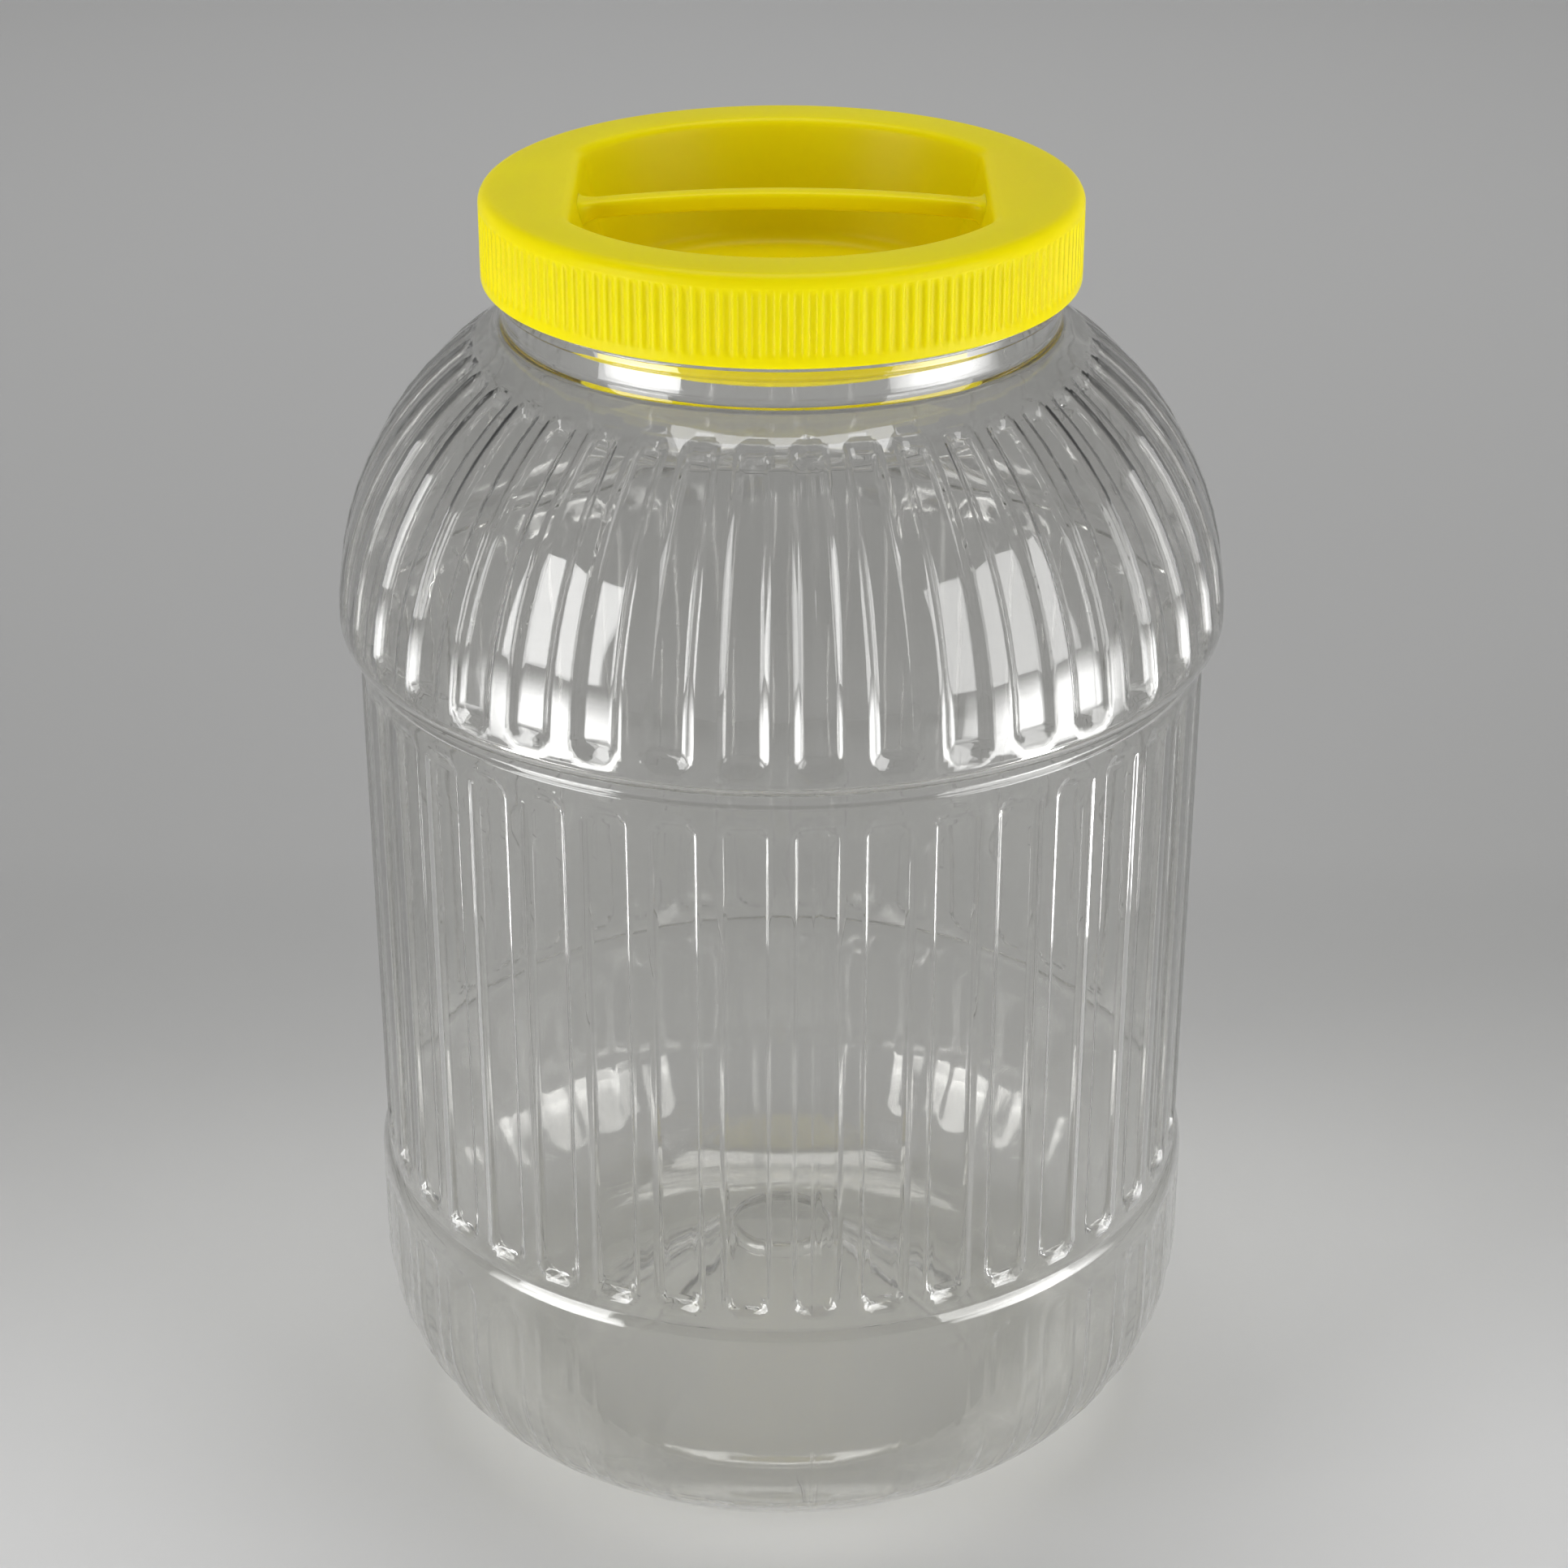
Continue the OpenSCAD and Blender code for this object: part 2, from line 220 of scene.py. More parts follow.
# %% The base and the heel
def base_path(t):
    """The pushed-up base, from near its middle to the ring that it stands on, drawn in by t."""
    path = rounded(drawn_in([
        (2.0, PUSH_H, 0), (6.0, PUSH_H, 0), (BOSS_R, PUSH_H, 1.1), (BOSS_R, PUSH_H - BOSS_H, 1.4),
        (STAND_IN_R, 0, 8.0), (STAND_R, 0, 0),
    ], t), step=15.0)
    return with_rows(path, np.arange(6.0, 28.0, 6.5))


def heel_path(t):
    """The round heel and the upright wall above it."""
    end = math.degrees(math.asin((HEEL_R - BASE_FLUTE[0]) / HEEL_R))
    below, beside, above = (82, end + 3, -10), (end + 1.6, end - 8, -1.6), (end - 14, 1, -9)
    turns = np.concatenate([np.arange(*span) for span in (below, beside, above)])
    heel = np.concatenate([arc((STAND_R, HEEL_R), HEEL_R - t, -a, -a, 0) for a in turns])
    heights = (HEEL_R, 43.0, *np.arange(BASE_FLUTE[1] - 6, BASE_FLUTE[1] + 0.2, 2.0))
    return np.concatenate([heel, [(LEDGE_R - t, z) for z in heights]])


# %% The body and the dome
DOME_STEPS = 56


def end_rows(low, high, reach=5.4, step=1.0):
    """Heights that are close together at both ends of a flute."""
    near = np.arange(-0.4, reach, step)
    return list(low + near) + list(high - near)


def body_path(t):
    """The ledge, the fluted body, the waist and the lip under the dome."""
    ledge = arc_into_wall((LEDGE_R - LEDGE_ROUND, LEDGE_Z), LEDGE_ROUND - t, BODY_R - t, 0.6, 5)
    body = rounded(drawn_in([
        (BODY_R, ledge[-1][1], 0), (BODY_R, WAIST_Z - 0.2, 1.0), (WAIST_R, WAIST_Z + 0.4, 0.8),
        (WAIST_R, LIP_Z - 0.4, 0.8), (SHOULDER_R, LIP_Z + 0.8, LIP_R), (SHOULDER_R, WIDE_Z + 0.3, 0),
    ], t), step=16.0)
    body = with_rows(body, end_rows(*BODY_FLUTE) + list(np.arange(85, 160, 36.0)))
    return np.concatenate([ledge, body[1:]])


def dome_path(t):
    """The dome and the hollow rounding that leads it into the neck."""
    wall_r, rounding = (BORE_R, 2.0) if t else (NECK_R, 4.0)
    dome = arc_into_wall((DOME_X, WIDE_Z), DOME_R - t, wall_r, rounding, DOME_STEPS)
    lean = np.degrees(np.arctan2(dome[:, 1] - WIDE_Z, dome[:, 0] - DOME_X))
    low, high = (math.degrees(math.asin((z - WIDE_Z) / DOME_R)) for z in DOME_FLUTE)
    near_end = (np.abs(lean - low - 2.0) < 2.9) | (np.abs(lean - high + 2.0) < 2.9)
    every_fifth = np.arange(len(dome)) % 5 == 0
    hollow = np.arange(len(dome)) > DOME_STEPS
    return dome[near_end | every_fifth | hollow]


def shell_profile(t):
    """The whole profile of the shell, from the middle of the base to the top of the dome."""
    return np.concatenate([base_path(t), heel_path(t), body_path(t), dome_path(t)[1:]])


print("the outside has", len(shell_profile(0)), "rows below the neck")

# %% [markdown]
# A flute has sloping sides, a gently hollow floor, and round ends that run out more slowly than the
# sides do. It gets steep sides on the body, softer ones on the dome and hardly any depth on the base.
# Each kind has a depth in millimetres, the share of its half width that a side takes, and the same
# share at its lower and its upper end.

# %% How deep the flutes are
BASE_CUT, BODY_CUT = (0.4, 0.5, (0.8, 0.8)), (1.3, 0.32, (0.3, 0.7))
DOME_CUT = (1.3, 0.55, (0.95, 0.95))
SIDE_SHARE, FLOOR_SHARE = 0.94, 0.06


def channel(inside, flank):
    """Cross section of a flute, 0 at its edge and 1 in its middle."""
    inside = np.clip(inside, 0, 1)
    side = np.clip(inside / flank, 0, 1)
    return SIDE_SHARE * side * side * (3 - 2 * side) + FLOOR_SHARE * (1 - (1 - inside) ** 2)


def flute_depth(path, angles):
    """How deep the flutes are at each row and column, measured along the skin."""
    turn = np.abs(np.mod(angles, FLUTE_PITCH) - FLUTE_PITCH / 2)[None, :]
    radius, height = path[:, 0][:, None], path[:, 1][:, None]
    on_heel = HEEL_R - HEEL_R * np.arctan2(HEEL_R - height, np.maximum(radius - STAND_R, 1e-6))
    base_low = HEEL_R - HEEL_R * math.asin((HEEL_R - BASE_FLUTE[0]) / HEEL_R)
    up_dome = DOME_R * np.arctan2(height - WIDE_Z, radius - DOME_X)
    dome_low, dome_high = (DOME_R * math.asin((z - WIDE_Z) / DOME_R) for z in DOME_FLUTE)
    on_base = (radius > STAND_R) & (height < LEDGE_Z)
    on_body = (height > BASE_H) & (height < WAIST_Z)
    on_dome = (height > WIDE_Z) & (height < ROOT_Z + 1)
    up_base = np.where(height < HEEL_R, on_heel, height)
    bands = (
        (on_base, up_base, (base_low, BASE_FLUTE[1]), BASE_CUT),
        (on_body, height, BODY_FLUTE, BODY_CUT),
        (on_dome, up_dome, (dome_low, dome_high), DOME_CUT),
    )
    total = np.zeros((len(path), len(angles)))
    half = radius * FLUTE_HALF
    for here, along, (start, end), (depth, flank, end_flank) in bands:
        past = np.maximum(np.maximum(start + half - along, along - end + half), 0)
        away = np.maximum(np.hypot(turn * radius, past), 1e-6)
        end_share = np.where(along < (start + end) / 2, *end_flank)
        run_out = flank + (end_share - flank) * (past / away) ** 2
        total += np.where(here, depth * channel(1 - away / half, run_out), 0)
    return total


# %% [markdown]
# ## Ribs, seam and waviness
# Five ribs run down the pushed-up base, and a faint line shows where the two halves of the mould met.
# A blown wall is also never quite even: it ripples a little on the inside, where no mould touched it.
# That ripple is what breaks up the reflections in clear plastic, so it belongs in the mesh.

# %% Ribs and the mould seam
RIB_H, RIB_W, RIB_FADE = 1.1, 1.3, 16.0
SEAM_H, SMOOTH_Z = 0.12, RIM_Z - 16


def near_angle(angles, middle):
    """Signed angle from this one to each column."""
    return np.mod(angles - middle + math.pi, 2 * math.pi) - math.pi


def rib_height(path, angles):
    """Rounded ribs on the slope of the pushed-up base."""
    radius, height = path[:, 0][:, None], path[:, 1][:, None]
    run = np.clip((radius - BOSS_R) / 3, 0, 1) * np.exp(-np.maximum(radius - BOSS_R, 0) / RIB_FADE)
    run = run * np.clip((STAND_IN_R - 2 - radius) / 6, 0, 1)
    run = np.where(height < PUSH_H, run, 0)
    total = np.zeros((len(path), len(angles)))
    for i in range(RIB_N):
        away = radius * near_angle(angles, RIB_TURN + i * 2 * math.pi / RIB_N)[None, :]
        total += run * RIB_H * np.exp(-(away / RIB_W) ** 2)
    return total


def seam_height(path, angles):
    """The mould line, a low ridge on the outside only."""
    from_seam = [np.abs(near_angle(angles, SEAM_TURN + side)) for side in (0, math.pi)]
    ridge = sum(np.clip(1 - away / SEAM_W, 0, 1) for away in from_seam)
    here = (path[:, 1] < SMOOTH_Z) & (path[:, 0] > STAND_R + 5)
    return SEAM_H * here[:, None] * ridge[None, :]


# %% The ripple of the inside
RIPPLE_H, WRINKLE_H = 0.02, 0.05
WAVES = ((5, 0.055, 0.0, 1.0), (9, -0.081, 1.3, 1.0), (14, 0.16, 4.1, 0.7), (23, -0.21, 2.2, 0.5))
WRINKLES = ((31, 0.6, 0.0), (19, -1.1, 2.0))


def ripple(path, angles):
    """Gentle unevenness of the inside, with finer wrinkles on the floor."""
    radius, height, a = path[:, 0][:, None], path[:, 1][:, None], angles[None, :]
    fade = np.clip((radius - 12) / 20, 0, 1) * np.clip((SMOOTH_Z - height) / 10, 0, 1)
    wave = sum(share * np.sin(n * a + climb * height + start) for n, climb, start, share in WAVES)
    on_floor = np.clip((radius - 14) / 6, 0, 1) * np.clip((STAND_R - radius) / 8, 0, 1) * (height < PUSH_H)
    wrinkle = sum(np.sin(n * a + run * radius + start) for n, run, start in WRINKLES)
    return RIPPLE_H * fade * wave + WRINKLE_H * on_floor * wrinkle


# %% [markdown]
# ## The neck
# The neck is thicker than the wall, and it has a bead that the lid's skirt stops above. Its thread is
# one turn in six pieces, so that trapped air can leave when the jar is filled. A thread could be a
# separate swept piece, but on the jar it is one skin with the neck, so the neck's rings move out for it.

# %% The neck with its bead and thread
BEAD_LOW, BEAD_HIGH, BEAD_R = 242.6, 245.4, NECK_R + 1.3
THREAD_Z, THREAD_LEAD, THREAD_DEPTH = 251.0, 5.0, 1.4
THREAD_ROOT_W, THREAD_CREST_W = 2.0, 1.0
THREAD_PIECES, THREAD_VENT = 6, 6.0


def thread_height(path, angles, start_z):
    """Height of the thread at each row and column: sloping sides, a flat crest, and gaps for air."""
    turn = np.mod(angles, 2 * math.pi)[None, :]
    away = np.abs(path[:, 1][:, None] - start_z - THREAD_LEAD * turn / (2 * math.pi))
    side = np.clip((THREAD_ROOT_W / 2 - away) / ((THREAD_ROOT_W - THREAD_CREST_W) / 2), 0, 1)
    within = np.mod(np.degrees(turn), 360 / THREAD_PIECES)
    end = np.clip((np.minimum(within, 360 / THREAD_PIECES - within) - THREAD_VENT / 2) / 1.0, 0, 1)
    return THREAD_DEPTH * side * end


outside, inside = shell_profile(0), shell_profile(WALL)
neck = rounded([
    (NECK_R, outside[-1][1], 0), (NECK_R, BEAD_LOW, 0.5), (BEAD_R, BEAD_LOW + 0.3, 0.8),
    (BEAD_R, BEAD_HIGH - 0.3, 0.8), (NECK_R, BEAD_HIGH, 0.5), (NECK_R, RIM_Z, 0.8),
    (BORE_R, RIM_Z, 0.8), (BORE_R, inside[-1][1], 0),
], step=18.0)
outer_count = int(np.argmax(neck[:, 1])) + 3
neck_out = with_rows(neck[:outer_count], np.arange(249.6, 257.6, 0.6))
neck_in = neck[outer_count:]
print("the neck has", len(neck_out), "rows outside and", len(neck_in), "inside")

# %% [markdown]
# The jar's skin is one surface. It goes up the outside, over the rim and down the inside, and each
# point moves along its own normal by what the flutes, ribs, seam and ripple ask for there.

# %% Join the jar's rings
def facing(path):
    """The direction that points out of the shell at each point of the profile."""
    along = np.gradient(path, axis=0)
    along /= np.linalg.norm(along, axis=1)[:, None]
    return np.stack([along[:, 1], -along[:, 0]], axis=1)


def spun(path, angles, outward, normal):
    """Rings of a path that moves out along its own normal by a height at each row and column."""
    radius = path[:, 0][:, None] + normal[:, 0][:, None] * outward
    height = path[:, 1][:, None] + normal[:, 1][:, None] * outward
    return np.stack([radius * np.cos(angles), radius * np.sin(angles), height], axis=-1)


def jar_skin(angles):
    """The jar's whole skin at these angles: up the outside, over the rim and down the inside."""
    outer = seam_height(outside, angles) - flute_depth(outside, angles)
    inner = ripple(inside, angles) - flute_depth(inside, angles) - rib_height(inside, angles)
    straight_out = np.tile([1.0, 0.0], (len(neck_out), 1))
    straight_in = np.tile([1.0, 0.0], (len(neck_in), 1))
    return np.concatenate([
        spun(outside, angles, outer, facing(outside)),
        spun(neck_out, angles, thread_height(neck_out, angles, THREAD_Z), straight_out)[1:],
        spun(neck_in, angles, np.zeros((len(neck_in), len(angles))), straight_in)[:-1],
        spun(inside, angles, inner, facing(inside))[::-1],
    ])


jar_rings = jar_skin(columns)
jar = ring_mesh("jar", jar_rings, first=(0, 0, PUSH_H), last=(0, 0, PUSH_H + WALL))
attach(jar, "jar")
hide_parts("jar_body")

# %% [markdown]
# ## The lid
# The lid is one moulding: a ribbed skirt, a flat top ring with a rounded edge, and a deep cup with two
# flat sides. From the middle of the cup's floor its skin runs up the cup, over the ring, down the skirt,
# round its edge, up inside past the thread, and down the outside of the cup. One stack of rings
# follows that way, and its columns sit at the corners of the grip ribs.

# %% Sizes and columns of the lid
LID_R, LID_BORE_R, LID_Z, LID_UNDER_Z, SKIRT_Z = 57.0, 55.1, 263.0, 261.0, 246.0
LID_EDGE_R, TOP_R = 2.4, 50.0
RECESS_R, RECESS_FLAT, RECESS_Z, CUP_Z, CUP_CORNER = 45.0, 39.0, 239.0, 237.0, 0.55
KNURL_N, KNURL_DEPTH = 144, 0.32
KNURL_FOOT, KNURL_TOP = 247.8, 260.6
LID_THREAD_Z = THREAD_Z - (THREAD_ROOT_W + THREAD_CREST_W) / 2 - 0.3
rib_steps = np.array([0.0, 0.4, 0.475, 0.55, 0.85, 0.925])
rib_groove = np.array([1.0, 1.0, 0.5, 0.0, 0.0, 0.5])
lid_angles = np.concatenate([(i + rib_steps) * 2 * math.pi / KNURL_N for i in range(KNURL_N)])
groove = np.tile(rib_groove, KNURL_N)
print("the lid has", len(lid_angles), "columns")


# %% The lid's rows
def recess_radius(inset):
    """Radius of the cup's outline at every column: a circle with two flat sides and softened corners."""
    flat = (RECESS_FLAT - inset) / np.maximum(np.abs(np.cos(lid_angles)), 0.05)
    circle = np.full_like(flat, RECESS_R - inset)
    past = np.minimum(flat - circle, 60)
    return -CUP_CORNER * np.log(np.exp(-past / CUP_CORNER) + 1) + circle


def ring(radius, height):
    """One ring of the lid. The radius may differ from column to column."""
    radius = np.broadcast_to(radius, lid_angles.shape)
    level = np.full_like(lid_angles, height)
    return np.stack([radius * np.cos(lid_angles), radius * np.sin(lid_angles), level], axis=-1)


def cup_ring(radius, height):
    """One ring on the cup, which has its two flat sides."""
    return ring(recess_radius(RECESS_R - radius), height)


# %% The cup, the top ring and the skirt
cup_in = rounded([
    (34.0, RECESS_Z, 0), (39.6, RECESS_Z, 3.6), (RECESS_R, LID_Z, 2.0), (TOP_R, LID_Z, 0),
], step=14)
cup_in = with_rows(cup_in, np.arange(244, 262, 4.0))
top_edge = rounded([(TOP_R, LID_Z, 0), (LID_R, LID_Z, LID_EDGE_R), (LID_R, KNURL_TOP - 0.1, 0)], step=12)
skirt_foot = rounded([
    (LID_R, KNURL_FOOT, 0), (LID_R, SKIRT_Z, 0.5), (LID_BORE_R, SKIRT_Z, 0.4), (LID_BORE_R, 247.4, 0),
])
knurl_heights = (260.55, 260.2, 259.7, 259.0, 256.0, 252.0, 249.2, 248.6, 248.2, 247.9)
knurl_fade = (0.0, 0.35, 0.75, 1.0, 1.0, 1.0, 1.0, 0.75, 0.35, 0.0)

rows = [cup_ring(r, RECESS_Z) for r in (6.0, 14.0, 22.0, 29.0)]
rows += [cup_ring(r, z) for r, z in cup_in[:-1]]
rows += [ring(r, z) for r, z in top_edge[:-1]]
rows += [ring(LID_R - KNURL_DEPTH * share * groove, z) for z, share in zip(knurl_heights, knurl_fade)]
rows += [ring(r, z) for r, z in skirt_foot[1:]]
print("the lid's outside has", len(rows), "rows")

# %% The inside of the lid
cup_out = rounded([
    (47.4, LID_UNDER_Z, 0), (46.8, LID_UNDER_Z, 0.5), (41.6, CUP_Z, 3.0), (36.0, CUP_Z, 0),
], step=18)
for z in np.arange(247.8, 256.4, 0.42):
    ridge = thread_height(np.array([[LID_BORE_R, z]]), lid_angles, LID_THREAD_Z)[0]
    rows.append(ring(LID_BORE_R - ridge, z))
rows += [ring(LID_BORE_R, 259.0), ring(LID_BORE_R, 260.6)]
rows += [ring(LID_BORE_R - 0.4, LID_UNDER_Z), ring(51.0, LID_UNDER_Z)]
rows += [cup_ring(r, z) for r, z in cup_out]
rows += [cup_ring(r, CUP_Z) for r in (28.0, 20.0, 12.0, 5.0)]
lid = ring_mesh("lid", np.array(rows), first=(0, 0, RECESS_Z), last=(0, 0, CUP_Z))

# %% [markdown]
# ## The grip bar
# A thin arched bar crosses the cup. It is part of the lid's moulding, with rounded edges and ends that
# flare out where they meet the cup's flat sides. A bevelled curve would make the arch, but not the
# flare, so the bar is another stack of rings, along X.

# %% The bar across the cup
BAR_W, BAR_T, BAR_TOP_Z, BAR_RISE, BAR_FLARE = 4.5, 3.6, 261.7, 2.2, 4.0
BAR_REACH, BAR_SQUARE = 39.7, 0.55
around = np.radians(np.arange(0, 360, 10.0))
box_y = np.sign(np.cos(around)) * np.abs(np.cos(around)) ** BAR_SQUARE
box_z = np.sign(np.sin(around)) * np.abs(np.sin(around)) ** BAR_SQUARE
left_end, right_end = np.linspace(-BAR_REACH, -34, 14), np.linspace(34, BAR_REACH, 14)
along_bar = np.concatenate([left_end, np.linspace(-30, 30, 25), right_end])
bar_rings = []
for x in along_bar:
    into_flare = np.clip(abs(x) - (RECESS_FLAT - BAR_FLARE - 0.6), 0, BAR_FLARE)
    grow = BAR_FLARE - math.sqrt(BAR_FLARE ** 2 - into_flare ** 2)
    half_w, half_t = BAR_W / 2 + grow, BAR_T / 2 + 0.4 * grow
    middle = BAR_TOP_Z - BAR_RISE * (x / RECESS_FLAT) ** 2 - BAR_T / 2 - 0.25 * grow
    bar_rings.append(np.stack([np.full_like(around, x), half_w * box_y, middle + half_t * box_z], axis=-1))
bar_ends = [(side * BAR_REACH, 0, BAR_TOP_Z - BAR_RISE - BAR_T / 2) for side in (-1, 1)]
bar = ring_mesh("lid_bar", np.array(bar_rings), first=bar_ends[0], last=bar_ends[1])

# %% The lid and its bar move together
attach(lid, "lid")
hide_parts("screw_lid")
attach(bar, "lid")
print("the bar moves with the lid")

# %% [markdown]
# ## The sealing ring
# A soft flat ring lies between the jar's rim and the lid. It can't be seen while the lid is on.
# The rim presses a shallow groove into it, so its underside isn't flat.

# %% The ring between rim and lid
SEAL_IN_R, SEAL_OUT_R, SEAL_LOW, SEAL_HIGH, SEAL_ROUND = 47.4, 54.5, 260.0, 261.0, 0.3
GROOVE_Z = SEAL_LOW + 0.12
seal_path = rounded([
    (50.4, GROOVE_Z, 0), (SEAL_IN_R, SEAL_LOW, SEAL_ROUND), (SEAL_IN_R, SEAL_HIGH, SEAL_ROUND),
    (SEAL_OUT_R, SEAL_HIGH, SEAL_ROUND), (SEAL_OUT_R, SEAL_LOW, SEAL_ROUND),
    (53.7, SEAL_LOW, 0), (53.4, GROOVE_Z, 0), (50.8, GROOVE_Z, 0),
], step=30)
seal_angles = np.linspace(0, 2 * math.pi, 192, endpoint=False)
seal_flat = np.zeros((len(seal_path), len(seal_angles)))
straight = np.tile([1.0, 0.0], (len(seal_path), 1))
seal = ring_mesh("seal", spun(seal_path, seal_angles, seal_flat, straight))
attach(seal, "seal")
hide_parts("sealing_ring")

# %% [markdown]
# ## Which way the faces point
# Clear plastic bends light by which side of a face it enters, so all faces have to point outwards.
# Blender can work that out for a closed mesh.

# %% Point the faces outwards
import bmesh

for piece in (jar, lid, bar, seal):
    skin = bmesh.new()
    skin.from_mesh(piece.data)
    bmesh.ops.recalc_face_normals(skin, faces=skin.faces)
    open_edges = sum(len(e.link_faces) != 2 for e in skin.edges)
    volume = skin.calc_volume(signed=True)
    if volume < 0:
        bmesh.ops.reverse_faces(skin, faces=skin.faces)
    skin.to_mesh(piece.data)
    skin.free()
    print(piece.name, "open edges", open_edges, "volume", round(volume * 1e6, 2), "cm3")

# %% [markdown]
# Smooth shading guesses the direction of the skin at a point from the faces around it. Beside a narrow
# flank that guess tilts the wide flat faces too, and everything behind the clear wall looks broken.
# The skin is known as a formula here, so its true directions are worked out and given to the mesh.

# %% True directions of the jar's skin
NUDGE = 1e-4
across = jar_skin(columns + NUDGE) - jar_skin(columns - NUDGE)
directions = np.cross(across, np.gradient(jar_rings, axis=0)).reshape(-1, 3)
directions /= np.linalg.norm(directions, axis=1)[:, None]
poles = np.array([[0.0, 0.0, -1.0], [0.0, 0.0, 1.0]])
jar.data.normals_split_custom_set_from_vertices(np.concatenate([directions, poles]).tolist())
print("the jar's skin has", len(directions), "directions of its own")

# %% [markdown]
# ## Finishes
# Each finish is one main shader with a few nodes in front of it. Noise makes the small differences
# that real plastic has, and it follows the piece itself, so it looks the same from every side.

# %% Tools for the finishes
def new_finish(name):
    """An empty material with its main shader, and a helper that adds nodes to it."""
    material = bpy.data.materials.new(name)
    material.use_nodes = True
    tree = material.node_tree
    shader = tree.nodes["Principled BSDF"]

    def add(kind, **values):
        node = tree.nodes.new(kind)
        for key, value in values.items():
            if key in node.inputs:
                node.inputs[key].default_value = value
            else:
                setattr(node, key, value)
        return node

    return material, shader, add, tree.links.new


def spread(add, link, source, low, high):
    """Turns a 0 to 1 noise into a range of values."""
    reach = add("ShaderNodeMapRange")
    reach.inputs["To Min"].default_value = low
    reach.inputs["To Max"].default_value = high
    link(source, reach.inputs["Value"])
    return reach.outputs["Result"]


# %% [markdown]
# ## Clear blown plastic
# The shell is a transparent solid with a real thickness, so one shader with full transmission does
# the bending and the reflections. A see-through shader without bending would be quicker, but then the
# flutes would hardly show. Handling leaves fine haze and the wall has small ripples, so noise drives
# the roughness and a very weak bump.

# %% The clear wall
clear, shader, add, link = new_finish("clear_blown_plastic")
place = add("ShaderNodeTexCoord")
shader.inputs["Transmission Weight"].default_value = 1.0
shader.inputs["IOR"].default_value = 1.57
shader.inputs["Specular IOR Level"].default_value = 1.0
shader.inputs["Base Color"].default_value = (0.87, 0.868, 0.853, 1)
haze = add("ShaderNodeTexNoise", Scale=26.0, Detail=4.0, Roughness=0.6)
link(place.outputs["Object"], haze.inputs["Vector"])
link(spread(add, link, haze.outputs["Fac"], 0.0, 0.06), shader.inputs["Roughness"])
wavy = add("ShaderNodeTexNoise", Scale=55.0, Detail=2.0)
link(place.outputs["Object"], wavy.inputs["Vector"])
dent = add("ShaderNodeBump", Strength=0.12, Distance=0.0006)
link(wavy.outputs["Fac"], dent.inputs["Height"])
link(dent.outputs["Normal"], shader.inputs["Normal"])
print("clear plastic bends light by", round(shader.inputs["IOR"].default_value, 2))

# %% [markdown]
# Such a shader blocks the lamps, though, and the floor under a real clear jar is bright. So rays on
# their way to a lamp meet a plain see-through shader instead, which takes more light at a grazing
# angle, as a real wall does. Other rays are caught inside the thin wall, where they bounce from side
# to side in short hops until they are given up and leave dark lines along the flutes. Real light gets
# out in the end, so a ray with several bounces and a short last hop may pass as well.

# %% Light that passes the wall
MOST_BOUNCES, LONGEST_HOP = 2.5, 25.0
ray = add("ShaderNodeLightPath")
graze = add("ShaderNodeLayerWeight", Blend=0.22)
passed = add("ShaderNodeValToRGB")
passed.color_ramp.elements[0].color = (0.86, 0.86, 0.85, 1)
passed.color_ramp.elements[1].color = (0.5, 0.5, 0.49, 1)
link(graze.outputs["Facing"], passed.inputs["Fac"])
see_through = add("ShaderNodeBsdfTransparent")
link(passed.outputs["Color"], see_through.inputs["Color"])
bounced = add("ShaderNodeMath", operation="GREATER_THAN")
bounced.inputs[1].default_value = MOST_BOUNCES
link(ray.outputs["Glossy Depth"], bounced.inputs[0])
short_hop = add("ShaderNodeMath", operation="LESS_THAN")
short_hop.inputs[1].default_value = LONGEST_HOP * MM
link(ray.outputs["Ray Length"], short_hop.inputs[0])
caught = add("ShaderNodeMath", operation="MULTIPLY")
link(bounced.outputs["Value"], caught.inputs[0])
link(short_hop.outputs["Value"], caught.inputs[1])
passes = add("ShaderNodeMath", operation="MAXIMUM")
link(ray.outputs["Is Shadow Ray"], passes.inputs[0])
link(caught.outputs["Value"], passes.inputs[1])

# %% The clear plastic's two shaders
either = add("ShaderNodeMixShader")
link(passes.outputs["Value"], either.inputs["Fac"])
link(shader.outputs["BSDF"], either.inputs[1])
link(see_through.outputs["BSDF"], either.inputs[2])
link(either.outputs["Shader"], clear.node_tree.nodes["Material Output"].inputs["Surface"])
jar.data.materials.append(clear)
print("the jar's finish has", len(clear.node_tree.nodes), "nodes")

# %% [markdown]
# ## Yellow moulded plastic
# The lid has a satin skin. Thin plastic lets a little light in, which a weak subsurface gives, and the
# colour is slightly uneven, as in dyed plastic.

# %% Yellow plastic
yellow, shader, add, link = new_finish("yellow_moulded_plastic")
place = add("ShaderNodeTexCoord")
cloud = add("ShaderNodeTexNoise", Scale=18.0, Detail=3.0)
link(place.outputs["Object"], cloud.inputs["Vector"])
tint = add("ShaderNodeValToRGB")
tint.color_ramp.elements[0].position, tint.color_ramp.elements[1].position = 0.35, 0.7
tint.color_ramp.elements[0].color = (0.78, 0.64, 0.001, 1)
tint.color_ramp.elements[1].color = (0.84, 0.71, 0.002, 1)
link(cloud.outputs["Fac"], tint.inputs["Fac"])
link(tint.outputs["Color"], shader.inputs["Base Color"])
grain = add("ShaderNodeTexNoise", Scale=900.0, Detail=2.0)
link(place.outputs["Object"], grain.inputs["Vector"])
link(spread(add, link, cloud.outputs["Fac"], 0.27, 0.42), shader.inputs["Roughness"])
shader.inputs["Specular IOR Level"].default_value = 0.08
shader.inputs["Subsurface Weight"].default_value = 0.5
shader.inputs["Subsurface Radius"].default_value = (0.006, 0.005, 0.0008)
shader.inputs["Subsurface Scale"].default_value = 1.0
